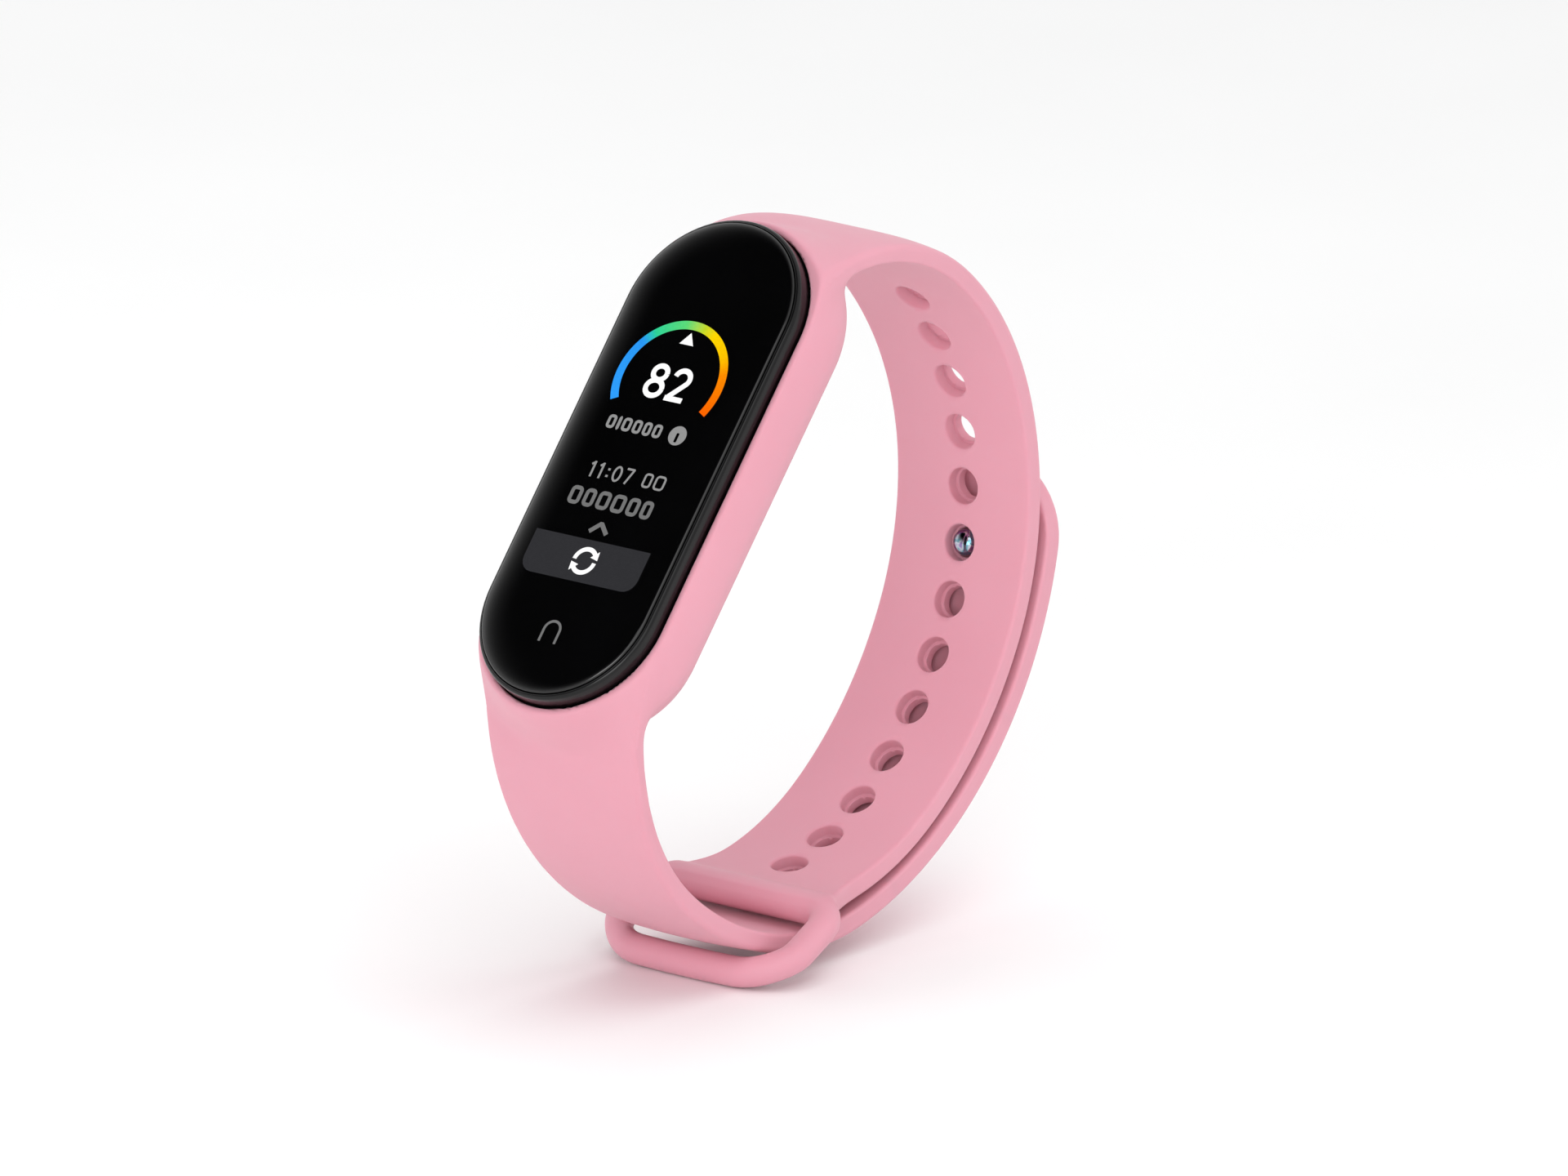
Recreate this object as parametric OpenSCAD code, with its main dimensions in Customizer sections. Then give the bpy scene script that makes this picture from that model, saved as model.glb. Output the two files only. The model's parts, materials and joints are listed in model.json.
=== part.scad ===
// Fitness tracker band: a sealed stadium-shaped tracker pressed into a soft one-piece strap.
// Millimetres. Origin at the centre of the wrist opening, +X along the wrist, +Z up, screen leaning back.
// Every module is drawn in the tracker's own frame: x across, y along the screen, z out of the glass.
// The module worn() then leans the whole band into the row frame.

/* [Tracker] */
// Overall length of the tracker
capsule_length = 46.95; // [44:0.05:50]
// Overall width of the tracker
capsule_width = 18.15; // [17.8:0.05:18.5]
// How far the screen leans back from upright, in degrees
lean = 40; // [0:1:90]
// Edge height of the crowned cover glass
glass_crown = 0.35; // [0.1:0.05:0.5]

/* [Strap] */
// Width of the strap where the holes are
strap_width = 14.8; // [13.6:0.1:15.6]
// Thickness of the strap
strap_thickness = 2.0; // [1.8:0.05:2.1]
// Half the width of the arms where they leave the tracker's pocket
arm_half_width = 8.5; // [8:0.1:8.8]
// Number of holes in the upper arm
hole_count = 13; // [8:1:13]
// Distance between neighbouring holes
hole_pitch = 5.0; // [4.8:0.05:5.1]
// Diameter of the wide wrist side of each hole
hole_wide = 3.2; // [2.9:0.1:3.6]
// Diameter of the narrow outer side of each hole
hole_neck = 2.6; // [2.5:0.1:2.8]
// Depth of the wide part of each hole
hole_step = 1.1; // [0.8:0.1:1.3]

/* [Loop] */
// Overall width of the loop that holds the lower arm
loop_width = 22.4; // [21.6:0.2:24]
// Thickness of the loop's round bar
loop_bar = 2.7; // [2.4:0.1:2.8]

/* [Clasp] */
// Diameter of the stud's round head
stud_head = 2.3; // [1.8:0.1:2.3]
// Diameter of the stud's post
stud_post = 1.6; // [1.2:0.1:1.8]
// Diameter of the clasp's outer disc
clasp_disc = 5.4; // [4.5:0.1:6]

/* [Motor] */
// Diameter of the vibration motor
motor_diameter = 8.0; // [7:0.1:8.2]
// Height of the vibration motor
motor_height = 2.7; // [2.5:0.1:2.8]

/* [View] */
// Piece to draw, or all

/* [Hidden] */
$fn = 72;

wrist_depth = 30.3;              // glass plane to the centre of the wrist opening
body_r = capsule_width / 2;      // radius of the tracker's rounded ends
end_c = (capsule_length - capsule_width) / 2;
fit = 0.05;                      // gap between the tracker and its pocket
half = strap_width / 2;
thick = strap_thickness;
lap = 0.02;                      // inset of an overlapping arc

// Strap path: arcs that meet tangentially, given as centre and inner radius.
ring_c = [0, -14.1];             // bottom of the holed arm
ring_r = 34;
flank_r = 27.4;                  // the flank nearer the tracker's top
left_r = 25.5;                   // the flank that ends in the loop
flank_a = 14;                    // where bottom and flank meet
flank_c = [(ring_r - flank_r) * sin(flank_a), ring_c[1] - (ring_r - flank_r) * cos(flank_a)];
left_c = [-(ring_r - left_r) * sin(flank_a), ring_c[1] - (ring_r - left_r) * cos(flank_a)];
left_end = 52;                   // how far round the left flank reaches
upper_r = 20;                    // upper arm's shoulder, met at its widest
upper_c = [flank_c[0] + flank_r - upper_r, flank_c[1]];
lower_r = 22.7;                  // lower arm's shoulder
lower_c = [-6.9, -23.5];
side_r = 29.4;                   // lower arm's long side
side_c = [lower_c[0] - lower_r + side_r, lower_c[1]];
side_a = 202.8;
turn_r = 22.7;                   // where it turns through the loop
turn_c = side_c + (side_r - turn_r) * [cos(side_a), sin(side_a)];
turn_a = 235;
tail_r = 34.5;                   // tail that lies over the holed arm
tail_c = turn_c - (tail_r - turn_r) * [cos(turn_a), sin(turn_a)];
split_a = 268;                   // flex line between strap and tail middle
split_b = 284;                   // flex line between tail middle and tail tip
tip_a = 310.5;                   // end of the tail
tip_round = half + 0.25;         // radius of its rounded end
tip_c_a = tip_a - asin(tip_round / (tail_r + thick / 2));

// Holes are spaced along the inner face from the bottom of the holed arm.
bottom_run = ring_r * flank_a * PI / 180;
first_run = 40.5;
function hole_run(i) = first_run - i * hole_pitch;
function hole_r(s) = abs(s) < bottom_run ? ring_r : s < 0 ? left_r : flank_r;
function hole_c(s) = abs(s) < bottom_run ? ring_c : s < 0 ? left_c : flank_c;
function over(s) = (s < 0 ? -1 : 1) * (flank_a + (abs(s) - bottom_run) / hole_r(s) * 180 / PI);
function hole_angle(s) = abs(s) < bottom_run ? s / ring_r * 180 / PI : over(s);

// The stud sits in the sixth hole.
stud_run = hole_run(5);
stud_a = hole_angle(stud_run);
stud_in = flank_r + 0.1;         // tip of its head, from the flank's centre
stud_out = flank_r + 4.9;        // outer end of its post

// Loop: a round bar bent into a flat ring around the lower arm.
bar_r = loop_bar / 2;
bar_in = left_c + (left_r + thick / 2) * [-sin(left_end), -cos(left_end)];
bar_span = 9.2;
loop_tilt = 157;
loop_corner = 3.6;
loop_half = loop_width / 2 - bar_r;

// Tracker profile from the axis of its rounded end: radius and height.
back_z = -11.2;
split_z = -2.3;

// Motor placed between the battery and the end of the tracker.
motor_y = 15.2;
motor_top = -4.3;
motor_r = motor_diameter / 2;
rotor_r = motor_r - 0.5;
shaft_r = 0.45;

module worn() rotate([90 - lean, 0, 0]) translate([0, 0, wrist_depth]) children();

// Turns a drawing in the side plane (y, z) so that its depth runs along x.
module side() rotate([90, 0, 90]) children();

// Cross-section of the strap, with its corners taken off.
module strap_section(r, t, h) {
  c = 0.45;
  polygon([[r + c, -h], [r + t - c, -h], [r + t, c - h], [r + t, h - c],
    [r + t - c, h], [r + c, h], [r, h - c], [r, c - h]]);
}

// One arc of strap about the point c, from angle a0 to a1. Neighbouring arcs overlap by half a
// degree; an inset one runs 0.02 mm inside the surface of the next, so that their faces never coincide.
module arc(c, r, a0, a1, h = half, inset = 0)
  side()
    translate([c[0], c[1], 0])
      rotate([0, 0, a0])
        rotate_extrude(angle = a1 - a0, $fn = 180)
          strap_section(r + inset, thick - 2 * inset, h - inset);

// A profile of radius and height carried around a stadium.
module stadium(pts, hl = end_c) {
  rotate([90, 0, 0])
    linear_extrude(2 * hl, center = true) {
      polygon(pts);
      mirror([1, 0]) polygon(pts);
    }
  translate([0, hl, 0]) rotate_extrude(angle = 180) polygon(pts);
  translate([0, -hl, 0]) rotate([0, 0, 180]) rotate_extrude(angle = 180) polygon(pts);
}

// Flat stadium plate between two heights.
module plate(r, hl, z0, z1) stadium([[0, z0], [r, z0], [r, z1], [0, z1]], hl);

// Flat stadium ring between two heights.
module frame_ring(r0, r1, hl, z0, z1) stadium([[r0, z0], [r1, z0], [r1, z1], [r0, z1]], hl);

module block(x0, x1, y0, y1, z0, z1) translate([x0, y0, z0]) cube([x1 - x0, y1 - y0, z1 - z0]);

// Outer profile of the tracker below the glass, grown by g.
function body_pts(g, top) = [[0, back_z - g], [5.0 + g, back_z - g], [6.5 + g, -10 - g / 2],
  [7.35 + g, -9 - g / 2], [8.2 + g, -7.9 - g / 2], [body_r + g, -6.2 - g / 2], [body_r + g, top],
  [0, top]];

module pocket_shell()
  stadium([[0, -10.6], [6.75, -10.6], [7.2, -10.35], [8.35, -9.1], [9.25, -7.95], [10.15, -7.0],
    [10.45, -6.3], [10.55, -5.6], [10.5, -4.2], [10.3, -3.0], [10.05, -2.25], [9.75, -1.95],
    [0, -1.95]]);

// Room for the tracker, with an open floor that its back looks out of.
module pocket_cavity()
  stadium([[0, -13], [6.3, -13], [6.3, -10.25], [6.5 + fit, -10.0 - fit],
    [7.35 + fit, -9 - fit], [8.2 + fit, -7.9 - fit], [body_r + fit, -6.2 - fit],
    [body_r + fit, 2], [0, 2]]);

// Wedges that narrow an arm from the pocket down to height z1.
module arm_taper(z1)
  for (s = [-1, 1])
    rotate([90, 0, 0])
      linear_extrude(80, center = true)
        polygon([[s * arm_half_width, -4], [s * half, z1], [s * half, -60], [s * 12, -60], [s * 12, -4]]);

module upper_arm() {
  difference() {
    union() {
      arc(upper_c, upper_r, 0, 57, arm_half_width);
      arc(flank_c, flank_r, -51, 0.5, arm_half_width, lap);
    }
    arm_taper(-42);
  }
  arc(flank_c, flank_r, -90 + flank_a, -50.5, half, 2 * lap);
  arc(ring_c, ring_r, -90 - flank_a - 0.5, -89.5 + flank_a, half, lap);
  arc(left_c, left_r, -90 - left_end, -90 - flank_a);
}

module lower_arm() {
  difference() {
    union() {
      arc(lower_c, lower_r, 120, 180, arm_half_width);
      arc(side_c, side_r, 179.5, 184, arm_half_width, lap);
    }
    arm_taper(-25);
  }
  arc(side_c, side_r, 183.5, side_a, half, 2 * lap);
  arc(turn_c, turn_r, side_a - 0.5, turn_a, half, lap);
  arc(tail_c, tail_r, turn_a - 0.5, split_a);
}

// Round bar bent into a flat ring; drawn flat, long way along x.
module loop_ring() {
  straight = loop_half - loop_corner;
  rise = bar_span / 2 - loop_corner;
  for (s = [-1, 1]) {
    translate([-straight, s * bar_span / 2, 0])
      rotate([0, 90, 0])
        cylinder(r = bar_r, h = 2 * straight);
    translate([s * loop_half, rise, 0])
      rotate([90, 0, 0])
        cylinder(r = bar_r, h = 2 * rise);
    for (q = [0, 1])
      translate([s * straight, (1 - 2 * q) * rise, 0])
        rotate([0, 0, s > 0 ? (q == 0 ? 0 : 270) : (q == 0 ? 90 : 180)])
          rotate_extrude(angle = 90)
            translate([loop_corner, 0])
              circle(r = bar_r);
  }
}

// Puts a flat drawing into the loop's plane.
module at_loop()
  translate([0, bar_in[0], bar_in[1]])
    rotate([loop_tilt, 0, 0])
      translate([0, bar_span / 2, 0])
        children();

// Puts a child on the axis of the hole at run s: its z is the distance outward from the arc's centre.
module at_hole(s)
  translate([0, hole_c(s)[0], hole_c(s)[1]])
    rotate([180 + hole_angle(s), 0, 0])
      children();

module holes()
  for (i = [0 : hole_count - 1])
    at_hole(hole_run(i)) {
      translate([0, 0, hole_r(hole_run(i)) - 1])
        cylinder(d = hole_wide, h = 1 + hole_step);
      translate([0, 0, hole_r(hole_run(i))])
        cylinder(d = hole_neck, h = thick + 1);
    }

module strap()
  color([0.78, 0.52, 0.58])
    worn()
      difference() {
        union() {
          pocket_shell();
          upper_arm();
          lower_arm();
          at_loop() loop_ring();
        }
        pocket_cavity();
        holes();
      }

module tail_arc(a0, a1) arc(tail_c, tail_r, a0, a1);

module strap_tail_middle()
  color([0.80, 0.54, 0.60])
    worn()
      tail_arc(split_a, split_b);

// Leaves the end of the tail round.
module tip_cutter()
  translate([0, tail_c[0], tail_c[1]])
    rotate([tip_c_a - 90, 0, 0])
      translate([0, 0, tail_r - 2])
        difference() {
          translate([-12, -14, 0])
            cube([24, 14, thick + 4]);
          translate([0, 0, -1])
            cylinder(r = tip_round, h = thick + 6);
        }

// The stud's seat: a hole for the post and a shallow recess for the disc.
module stud_seat() {
  translate([0, 0, stud_in])
    cylinder(d = stud_post, h = 8);
  translate([0, 0, stud_out - 0.55])
    cylinder(d = clasp_disc, h = 3);
}

module strap_tail_tip()
  color([0.80, 0.54, 0.60])
    worn()
      difference() {
        tail_arc(split_b, tip_a + 2);
        tip_cutter();
        at_hole(stud_run) stud_seat();
      }

module clasp_stud()
  color([0.86, 0.86, 0.88])
    worn()
      at_hole(stud_run)
        rotate_extrude()
          polygon([[0, stud_in], [stud_head * 0.3, stud_in + 0.05], [stud_head * 0.44, stud_in + 0.25],
            [stud_head / 2, stud_in + 0.6], [stud_head / 2, stud_in + 0.8],
            [stud_post / 2, stud_in + 1.0], [stud_post / 2, stud_out - 0.55], [0, stud_out - 0.55]]);

module clasp_disc_cap()
  color([0.84, 0.84, 0.86])
    worn()
      at_hole(stud_run)
        translate([0, 0, stud_out - 0.55])
          rotate_extrude()
            polygon([[0, 0], [clasp_disc / 2, 0], [clasp_disc / 2, 0.55], [clasp_disc / 2 - 0.25, 0.85],
              [clasp_disc / 2 - 0.9, 1.0], [0, 1.05]]);

module cover_glass()
  color([0.05, 0.05, 0.06])
    worn()
      stadium([[0, -0.75], [8.6, -0.75], [8.6, -0.05], [8.3, 0.12], [7.6, glass_crown - 0.08],
        [6.6, glass_crown], [0, glass_crown]]);

module glass_adhesive()
  color([0.12, 0.12, 0.12])
    worn()
      frame_ring(7.55, 8.5, end_c, -0.85, -0.75);

module touch_sensor()
  color([0.35, 0.4, 0.42])
    worn()
      translate([0, 2.2, 0]) plate(7.4, 8.6, -0.9, -0.75);

module touch_key_pad()
  color([0.75, 0.6, 0.35])
    worn()
      translate([0, -17.5, -0.87])
        cylinder(d = 1.8, h = 0.12);

module display_panel()
  color([0.08, 0.08, 0.1])
    worn()
      block(-6.6, 6.6, -14.2, 13.4, -1.6, -0.9);

module display_foam()
  color([0.2, 0.2, 0.2])
    worn()
      difference() {
        block(-6.6, 6.6, -14.2, 13.4, -1.9, -1.6);
        block(-4.6, 4.6, -12.2, 11.4, -2.0, -1.5);
      }

module display_flex()
  color([0.72, 0.45, 0.12])
    worn() {
      block(-3, 3, -16.4, -14.2, -1.35, -1.2);
      translate([-3, -16.4, -1.775])
        rotate([90, 0, 90])
          rotate([0, 0, 90])
            rotate_extrude_strip(0.425, 0.575, 180, 6);
      block(-3, 3, -16.4, -12.4, -2.35, -2.2);
    }

// A thin strip bent about z, w wide.
module rotate_extrude_strip(r0, r1, a, w)
  rotate_extrude(angle = a)
    translate([r0, 0])
      square([r1 - r0, w]);

module mid_frame()
  color([0.04, 0.04, 0.045])
    worn()
      stadium([[7.55, -0.85], [8.72, -0.85], [8.72, -0.35], [8.85, -0.3], [body_r, -0.55],
        [body_r, split_z], [8.3, split_z], [8.3, -1.95], [7.55, -1.95]]);

module housing_gasket()
  color([0.15, 0.15, 0.17])
    worn()
      frame_ring(7.9, 8.25, end_c, -2.45, -1.95);

module rear_housing()
  color([0.05, 0.05, 0.055])
    worn()
      difference() {
        stadium(body_pts(0, split_z));
        stadium([[0, -10.4], [4.1, -10.4], [5.6, -9.6], [6.45, -8.7], [7.3, -7.6], [8.2, -5.8],
          [8.2, -2.45], [8.3, -2.45], [8.3, -2.2], [0, -2.2]]);
        translate([0, 0, -12]) cylinder(r = 4.3, h = 2);
        for (s = [-1, 1])
          translate([s * 2.3, -15.5, -12])
            cylinder(r = 1.25, h = 2);
      }

module sensor_window()
  color([0.1, 0.1, 0.12])
    worn()
      rotate_extrude()
        polygon([[0, -12.1], [2.4, -12.02], [3.5, -11.8], [4.1, -11.45], [4.3, -11.1],
          [4.3, -10.85], [0, -10.85]]);

module sensor_board()
  color([0.08, 0.3, 0.16])
    worn()
      block(-3.9, 3.9, -7.2, 7.2, -10.05, -9.55);

module green_leds()
  color([0.4, 0.9, 0.5])
    worn()
      for (s = [-1, 1])
        block(-0.6, 0.6, s * 2.45 - 0.5, s * 2.45 + 0.5, -10.6, -10.05);

module photodiode()
  color([0.15, 0.12, 0.2])
    worn()
      block(-1.0, 1.0, -1.0, 1.0, -10.5, -10.05);

module light_barrier()
  color([0.06, 0.06, 0.06])
    worn()
      for (s = [-1, 1])
        block(-2.6, 2.6, s * 1.55 - 0.2, s * 1.55 + 0.2, -10.8, -10.05);

module sensor_flex()
  color([0.72, 0.45, 0.12])
    worn() {
      block(-1.8, 1.8, 7.2, 10.35, -9.85, -9.7);
      block(-1.8, 1.8, 10.2, 10.35, -9.7, -3.35);
      block(-1.8, 1.8, 8.7, 10.35, -3.35, -3.2);
    }

module main_board()
  color([0.06, 0.28, 0.16])
    worn()
      plate(7.6, 11.6, -3.2, -2.6);

module shield_can()
  color([0.75, 0.75, 0.77])
    worn()
      difference() {
        block(-5.2, 5.2, -10.5, 0.5, -4.3, -3.2);
        block(-5.05, 5.05, -10.35, 0.35, -4.15, -3.1);
      }

module board_chips()
  color([0.1, 0.1, 0.11])
    worn() {
      block(-3.2, 1.0, -9.3, -5.1, -3.95, -3.2);
      block(1.9, 4.2, -9.0, -6.7, -3.85, -3.2);
      block(-3.0, 0.2, -3.6, -0.6, -3.9, -3.2);
      block(-5.4, -3.2, 4.6, 6.8, -4.0, -3.2);
    }

module board_connector()
  color([0.85, 0.8, 0.65])
    worn()
      block(-2.2, 2.2, 2.4, 4.6, -3.95, -3.2);

module battery_cell()
  color([0.72, 0.74, 0.76])
    worn()
      difference() {
        block(-6.1, 6.1, -13.2, 7.6, -8.5, -4.6);
        for (s = [-1, 1])
          translate([s * 6.1, 0, -8.5])
            rotate([0, 45, 0])
              cube([1.2, 60, 1.2], center = true);
      }

module battery_board()
  color([0.1, 0.35, 0.2])
    worn()
      block(-4.6, 4.6, 7.6, 8.3, -7.6, -5.2);

module battery_foam()
  color([0.25, 0.25, 0.27])
    worn()
      block(-5.2, 5.2, -12, 6.4, -9.0, -8.5);

module motor_at() translate([0, motor_y, motor_top]) children();

module motor_base()
  color([0.5, 0.5, 0.52])
    worn()
      motor_at()
        translate([0, 0, -motor_height])
          difference() {
            cylinder(r = motor_r, h = 0.3);
            translate([0, 0, -1]) cylinder(r = shaft_r, h = 3);
          }

module motor_case()
  color([0.8, 0.8, 0.82])
    worn()
      motor_at()
        difference() {
          translate([0, 0, 0.3 - motor_height]) cylinder(r = motor_r, h = motor_height - 0.3);
          translate([0, 0, -motor_height]) cylinder(r = motor_r - 0.25, h = motor_height - 0.25);
        }

module motor_shaft()
  color([0.85, 0.85, 0.87])
    worn()
      motor_at()
        translate([0, 0, -motor_height])
          cylinder(r = shaft_r, h = motor_height - 0.3);

// Hub with a weight on the side that hangs lowest.
module motor_rotor()
  color([0.6, 0.58, 0.55])
    worn()
      motor_at()
        translate([0, 0, 0.55 - motor_height])
          difference() {
            union() {
              cylinder(r = 1.2, h = motor_height - 1.1);
              rotate([0, 0, 200])
                rotate_extrude(angle = 140)
                  square([rotor_r, motor_height - 1.1]);
            }
            translate([0, 0, -1]) cylinder(r = shaft_r + 0.04, h = 5);
          }

module charge_contacts()
  color([0.9, 0.72, 0.35])
    worn()
      for (s = [-1, 1])
        translate([s * 2.3, -15.5, -11.3])
          cylinder(r = 1.25, h = 1.25);

module contact_seals()
  color([0.3, 0.3, 0.32])
    worn()
      for (s = [-1, 1])
        translate([s * 2.3, -15.5, -10.4])
          difference() {
            cylinder(r = 1.7, h = 0.35);
            translate([0, 0, -1]) cylinder(r = 1.25, h = 3);
          }

module antenna()
  color([0.8, 0.6, 0.3])
    worn()
      translate([0, end_c, -5.0])
        rotate([0, 0, 20])
          rotate_extrude_strip(7.95, 8.15, 140, 2.0);

strap();
strap_tail_middle();
strap_tail_tip();
clasp_stud();
clasp_disc_cap();
cover_glass();
glass_adhesive();
touch_sensor();
touch_key_pad();
display_panel();
display_foam();
display_flex();
mid_frame();
housing_gasket();
rear_housing();
sensor_window();
sensor_board();
green_leds();
photodiode();
light_barrier();
sensor_flex();
main_board();
shield_can();
board_chips();
board_connector();
battery_cell();
battery_board();
battery_foam();
motor_base();
motor_case();
motor_shaft();
motor_rotor();
charge_contacts();
contact_seals();
antenna();
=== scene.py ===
"""Fitness tracker band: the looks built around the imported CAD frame.

Shapes are worked out in millimetres in the tracker's own frame (x across, y along the screen, z out of the
glass), where the CAD draws them too, and go through to_row() into metres in the row frame. The strap is a
signed distance field on a grid that follows the strap's own path, so that its mesh lines run along it.
"""

import json
import math

import bmesh
import bpy
import numpy as np
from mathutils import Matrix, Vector


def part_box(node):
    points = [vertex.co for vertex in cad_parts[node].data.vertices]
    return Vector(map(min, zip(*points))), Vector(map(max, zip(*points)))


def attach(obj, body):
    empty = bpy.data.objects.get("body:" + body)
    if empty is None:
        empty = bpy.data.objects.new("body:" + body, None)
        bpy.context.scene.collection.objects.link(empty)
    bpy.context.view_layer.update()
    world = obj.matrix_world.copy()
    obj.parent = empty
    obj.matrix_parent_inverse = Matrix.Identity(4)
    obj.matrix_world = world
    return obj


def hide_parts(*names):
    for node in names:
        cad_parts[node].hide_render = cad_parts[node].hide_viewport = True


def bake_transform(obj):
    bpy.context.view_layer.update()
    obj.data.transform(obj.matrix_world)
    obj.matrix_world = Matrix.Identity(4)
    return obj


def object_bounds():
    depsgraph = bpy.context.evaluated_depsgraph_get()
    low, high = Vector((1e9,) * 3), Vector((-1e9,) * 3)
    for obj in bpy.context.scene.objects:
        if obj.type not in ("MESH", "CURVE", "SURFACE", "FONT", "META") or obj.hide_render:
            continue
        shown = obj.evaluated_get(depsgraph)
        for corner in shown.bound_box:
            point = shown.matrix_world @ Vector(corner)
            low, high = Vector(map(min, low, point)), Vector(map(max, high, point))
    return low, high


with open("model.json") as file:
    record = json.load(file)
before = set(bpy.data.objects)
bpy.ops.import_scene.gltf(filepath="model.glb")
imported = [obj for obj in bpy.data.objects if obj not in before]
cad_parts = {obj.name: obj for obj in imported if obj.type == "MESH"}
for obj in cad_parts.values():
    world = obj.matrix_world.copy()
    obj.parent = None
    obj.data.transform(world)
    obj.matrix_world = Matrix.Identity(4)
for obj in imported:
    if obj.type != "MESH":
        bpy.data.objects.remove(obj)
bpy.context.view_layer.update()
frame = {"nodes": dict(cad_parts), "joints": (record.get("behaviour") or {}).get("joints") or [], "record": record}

MM = 0.001

# ---------------------------------------------------------------- the tracker's frame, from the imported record
JOINTS = {j["name"]: j for j in frame["joints"]}
OUT = np.array(JOINTS["tracker_release"]["axis"], float)  # out of the glass
ALONG = np.array([0.0, OUT[2], -OUT[1]])  # up the screen
ACROSS = np.array([1.0, 0.0, 0.0])
WRIST_DEPTH = 30.3  # glass plane to the centre of the wrist opening


def to_row(p):
    """Points of the tracker's frame, in mm, as points of the row frame, in metres."""
    p = np.asarray(p, float).reshape(-1, 3)
    return MM * (p[:, :1] * ACROSS + p[:, 1:2] * ALONG + (p[:, 2:] + WRIST_DEPTH) * OUT)


def turn_to_row(v):
    """Directions of the tracker's frame as directions of the row frame."""
    v = np.asarray(v, float).reshape(-1, 3)
    return v[:, :1] * ACROSS + v[:, 1:2] * ALONG + v[:, 2:] * OUT


def smoothstep(t):
    t = np.clip(t, 0.0, 1.0)
    return t * t * (3 - 2 * t)


def smooth_min(a, b, k):
    """The smaller of a and b, with a fillet about k wide where they meet."""
    h = np.maximum(k - np.abs(a - b), 0.0) / k
    return np.minimum(a, b) - h * h * k / 4


def smooth_max(a, b, k):
    return -smooth_min(-a, -b, k)


# ---------------------------------------------------------------- sizes, as in the CAD
BODY_R = float(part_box("mid_frame")[1].x) / MM  # radius of the tracker's rounded ends
END_C = 14.4  # half the straight length between them
FIT = 0.03  # visible gap between the tracker and its pocket
HALF = 7.4  # half the width of the strap
ARM_HALF = 8.5  # half the width of an arm where it leaves the pocket
THICK = 2.0
LOOP_FLARE = 8.7  # half the width of the strap where it meets its loop
BAR_R = 1.35
BAR_SPAN = 9.2
LOOP_HALF = float(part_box("strap")[1].x) / MM - BAR_R

RING_C, RING_R = (0.0, -14.1), 34.0
FLANK_A = 14.0
FLANK_R, LEFT_R = 27.4, 25.5
UPPER_R, LOWER_R, LOWER_C = 20.0, 22.7, (-6.9, -23.5)
SIDE_R, SIDE_A = 29.4, 202.8
TURN_R, TURN_A = 22.7, 235.0
TAIL_R, TIP_A = 34.5, 310.5


def unit(deg):
    return np.array([math.cos(math.radians(deg)), math.sin(math.radians(deg))])


FLANK_C = np.array(RING_C) + (RING_R - FLANK_R) * unit(FLANK_A - 90)
UPPER_C = FLANK_C + [FLANK_R - UPPER_R, 0]
SIDE_C = np.array(LOWER_C) + [SIDE_R - LOWER_R, 0]
TURN_C = SIDE_C + (SIDE_R - TURN_R) * unit(SIDE_A)
TAIL_C = TURN_C - (TAIL_R - TURN_R) * unit(TURN_A)

between = UPPER_C - LOWER_C
BRIDGE_A = 90 + math.degrees(
    math.atan2(between[1], between[0]) - math.asin((LOWER_R - UPPER_R) / np.hypot(*between))
)
BRIDGE_LENGTH = math.sqrt(between @ between - (LOWER_R - UPPER_R) ** 2)
BEND_A, LOOP_A, BEND_R = -140.0, -113.0, 4.0  # where the strap turns outward into the plane of its loop
LOOP_LENGTH = 14.0
MARGIN_A = 4.0  # room past the tail's end

# Stretches of the path from past the tail's end to past the loop, along the middle of the strap's thickness:
# (name, radius of the middle line, direction of its normal at the start and at the end). A negative radius
# bends outward.
STRETCHES = [
    ("tail", TAIL_R + 1, TIP_A + MARGIN_A, TURN_A),
    ("turn", TURN_R + 1, TURN_A, SIDE_A),
    ("side", SIDE_R + 1, SIDE_A, 180.0),
    ("lower", LOWER_R + 1, 180.0, BRIDGE_A),
    ("bridge", None, BRIDGE_A, BRIDGE_LENGTH),
    ("upper", UPPER_R + 1, BRIDGE_A, 0.0),
    ("flank", FLANK_R + 1, 0.0, FLANK_A - 90),
    ("ring", RING_R + 1, FLANK_A - 90, -90 - FLANK_A),
    ("left", LEFT_R + 1, -90 - FLANK_A, BEND_A),
    ("bend", -BEND_R, BEND_A, LOOP_A),
    ("loop", None, LOOP_A, LOOP_LENGTH),
]


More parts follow.
